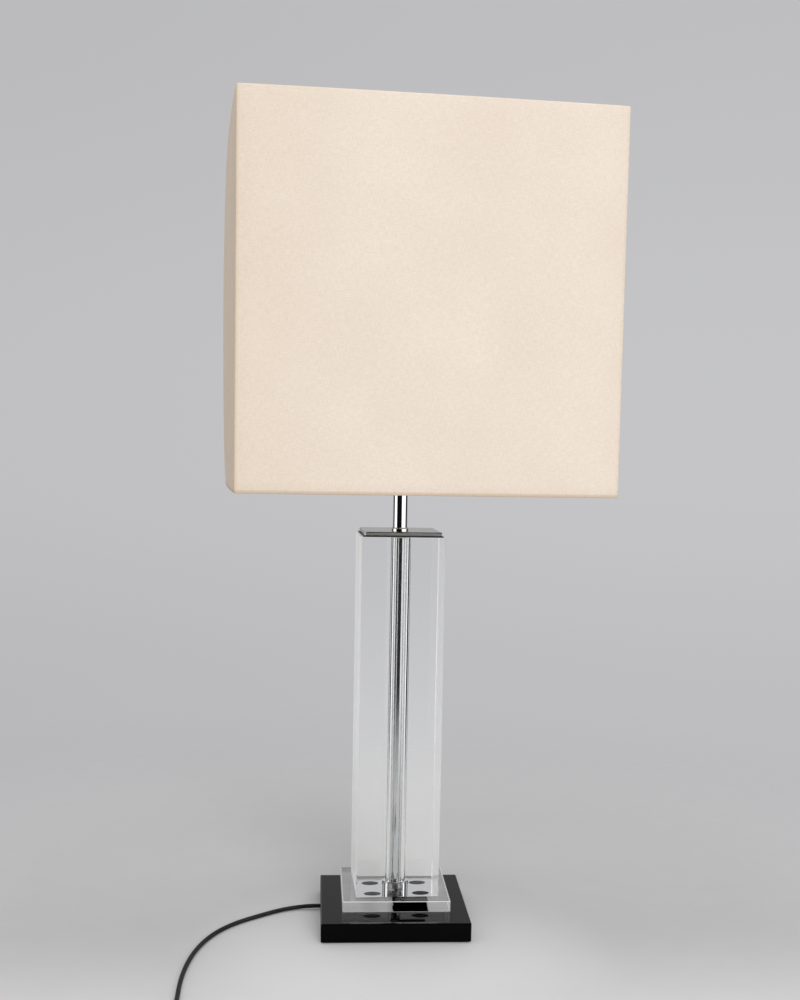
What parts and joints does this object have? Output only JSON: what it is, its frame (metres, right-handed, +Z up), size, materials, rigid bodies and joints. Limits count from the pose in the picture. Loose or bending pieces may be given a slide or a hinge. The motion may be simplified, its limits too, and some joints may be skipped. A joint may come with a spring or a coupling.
{
  "type": "column table lamp",
  "caption": "Table lamp with a clear square column on a black slab, a chrome tube through its core and a cream cube shade.",
  "frame": {"origin": "middle of the square underside, on the surface the lamp stands on", "axes": "+Z up along the column, -Y the front, the cord leaves on the -X side"},
  "size_m": [0.3969, 0.5568, 0.798],
  "materials": {
    "black_slab": "polished black acrylic, mirror gloss",
    "clear_acrylic": "polished clear acrylic",
    "chrome": "bright chrome plate",
    "steel": "zinc-plated steel",
    "black_rubber": "matt black rubber",
    "bond_pad": "grey bonding pad",
    "felt": "black felt",
    "holder_black": "black moulded plastic",
    "ceramic": "white glazed ceramic",
    "brass": "plain brass",
    "bar_plastic": "ivory moulded plastic",
    "wire_sleeve": "brown wire sleeve",
    "bulb_glass": "frosted glass",
    "bulb_cap": "bright aluminium",
    "shade_fabric": "cream linen-look fabric on a stiff lining",
    "shade_wire": "white coated wire",
    "cord_black": "smooth black cord",
    "plug_black": "moulded black plastic"
  },
  "bodies": {
    "lamp": {"base_felt": "felt", "base_plate": "black_slab", "foot_plate": "clear_acrylic", "column_pads": "bond_pad", "column": "clear_acrylic", "stem_tube": "steel", "base_washer": "steel", "base_nut": "steel", "foot_washer": "steel", "foot_nut": "steel", "column_sleeve": "chrome", "cap_gasket": "black_rubber", "cap_plate": "chrome", "neck_collar": "chrome", "neck_tube": "chrome", "holder_dome": "holder_black", "holder_shell": "holder_black", "holder_core": "ceramic", "holder_liner": "brass", "holder_contact": "brass", "holder_wires": "wire_sleeve", "cord_run": "cord_black", "cord_coil": "cord_black", "cord_tail": "cord_black", "cord_inner": "cord_black", "cord_relief": "black_rubber", "cord_clamp": "steel", "clamp_screws": "steel", "plug_relief": "plug_black", "plug_body": "plug_black", "plug_pins": "chrome"},
    "push_bar": {"switch_bar": "bar_plastic"},
    "lower_ring": {"ring_lower": "holder_black"},
    "upper_ring": {"ring_upper": "holder_black"},
    "bulb": {"bulb_glass": "bulb_glass", "bulb_cap": "bulb_cap", "bulb_tip": "bulb_cap", "bulb_stem": "bulb_glass", "bulb_filament": "steel"},
    "shade": {"shade_front": "shade_fabric", "shade_right": "shade_fabric", "shade_back": "shade_fabric", "shade_left": "shade_fabric", "shade_wire_bottom": "shade_wire", "shade_wire_top": "shade_wire", "shade_posts": "shade_wire", "shade_fitter": "shade_wire", "shade_arms": "shade_wire"}
  },
  "joints": [
    {"name": "shade_turn", "type": "hinge", "parent": "lamp", "child": "shade", "pos_m": [0.002, 0.013, 0.5374], "axis": [0, 0, 1], "continuous": true},
    {"name": "switch_push", "type": "slide", "parent": "lamp", "child": "push_bar", "axis": [1, 0, 0], "range_m": [0, 0.006]},
    {"name": "lower_ring_turn", "type": "hinge", "parent": "lamp", "child": "lower_ring", "pos_m": [0.002, 0.013, 0.5312], "axis": [0, 0, 1], "range_deg": [-360, 360]},
    {"name": "upper_ring_turn", "type": "hinge", "parent": "lamp", "child": "upper_ring", "pos_m": [0.002, 0.013, 0.5396], "axis": [0, 0, 1], "range_deg": [0, 720]},
    {"name": "bulb_turn", "type": "hinge", "parent": "lamp", "child": "bulb", "pos_m": [0.002, 0.013, 0.54], "axis": [0, 0, 1], "range_deg": [0, 1080]}
  ]
}
